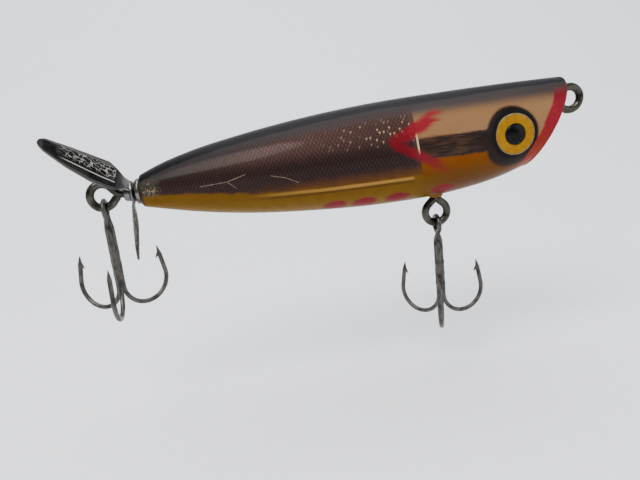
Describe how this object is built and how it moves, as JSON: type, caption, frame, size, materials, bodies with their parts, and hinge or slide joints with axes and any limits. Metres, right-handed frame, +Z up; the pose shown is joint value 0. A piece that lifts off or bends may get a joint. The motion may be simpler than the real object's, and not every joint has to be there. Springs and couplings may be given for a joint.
{
  "type": "topwater popper lure",
  "caption": "Floating fishing lure with a slanted dished face, a scale-patterned translucent body, a bladed tail propeller on its screw-eye shaft and treble hooks at the belly and tail.",
  "frame": {"origin": "centre of the line tie's ring at the nose, in the plane of the body's seam", "axes": "+X from the tail to the nose, along the tail shaft; +Y to the lure's left; +Z up, from belly to back"},
  "size_m": [0.1113, 0.0236, 0.0508],
  "materials": {
    "painted_shell": "clear moulded plastic over paint, black back, copper scaled side, olive gold belly, red gill mark and face",
    "scale_foil": "scaled reflective insert",
    "cheek_foil": "smooth gold reflective insert",
    "iris_yellow": "glossy yellow",
    "pupil_black": "glossy black",
    "screw_wire": "tarnished plated wire",
    "cup_metal": "worn bright plating",
    "prop_metal": "worn nickel plating, raised border round a finely etched field",
    "hook_metal": "dull tinned wire, spotted with age",
    "braze": "darkened braze",
    "lead": "dull grey lead"
  },
  "bodies": {
    "hull": {"body_shell_left": "painted_shell", "body_shell_right": "painted_shell", "scale_reflector_left": "scale_foil", "scale_reflector_right": "scale_foil", "head_reflector_left": "cheek_foil", "head_reflector_right": "cheek_foil", "eye_iris_left": "iris_yellow", "eye_iris_right": "iris_yellow", "eye_pupil_left": "pupil_black", "eye_pupil_right": "pupil_black", "line_tie": "screw_wire", "belly_hanger": "screw_wire", "tail_hanger": "screw_wire", "front_prop_cup": "cup_metal", "rear_prop_cup": "cup_metal", "ballast": "lead"},
    "prop": {"propeller": "prop_metal"},
    "tail_treble": {"tail_hook_double": "hook_metal", "tail_hook_single": "hook_metal", "tail_hook_braze": "braze"},
    "belly_treble": {"belly_hook_double": "hook_metal", "belly_hook_single": "hook_metal", "belly_hook_braze": "braze"}
  },
  "joints": [
    {"name": "prop_spin", "type": "hinge", "parent": "hull", "child": "prop", "pos_m": [-0.09285, 0, -0.0075], "axis": [1, 0, 0], "range_deg": [-160, 85]},
    {"name": "tail_hook_swing", "type": "hinge", "parent": "hull", "child": "tail_treble", "pos_m": [-0.0987, 0, -0.0075], "axis": [0, 1, 0], "range_deg": [-20, 105]},
    {"name": "belly_hook_swing", "type": "hinge", "parent": "hull", "child": "belly_treble", "pos_m": [-0.0307, 0, -0.0205], "axis": [0, 1, 0], "range_deg": [-60, 85]}
  ]
}
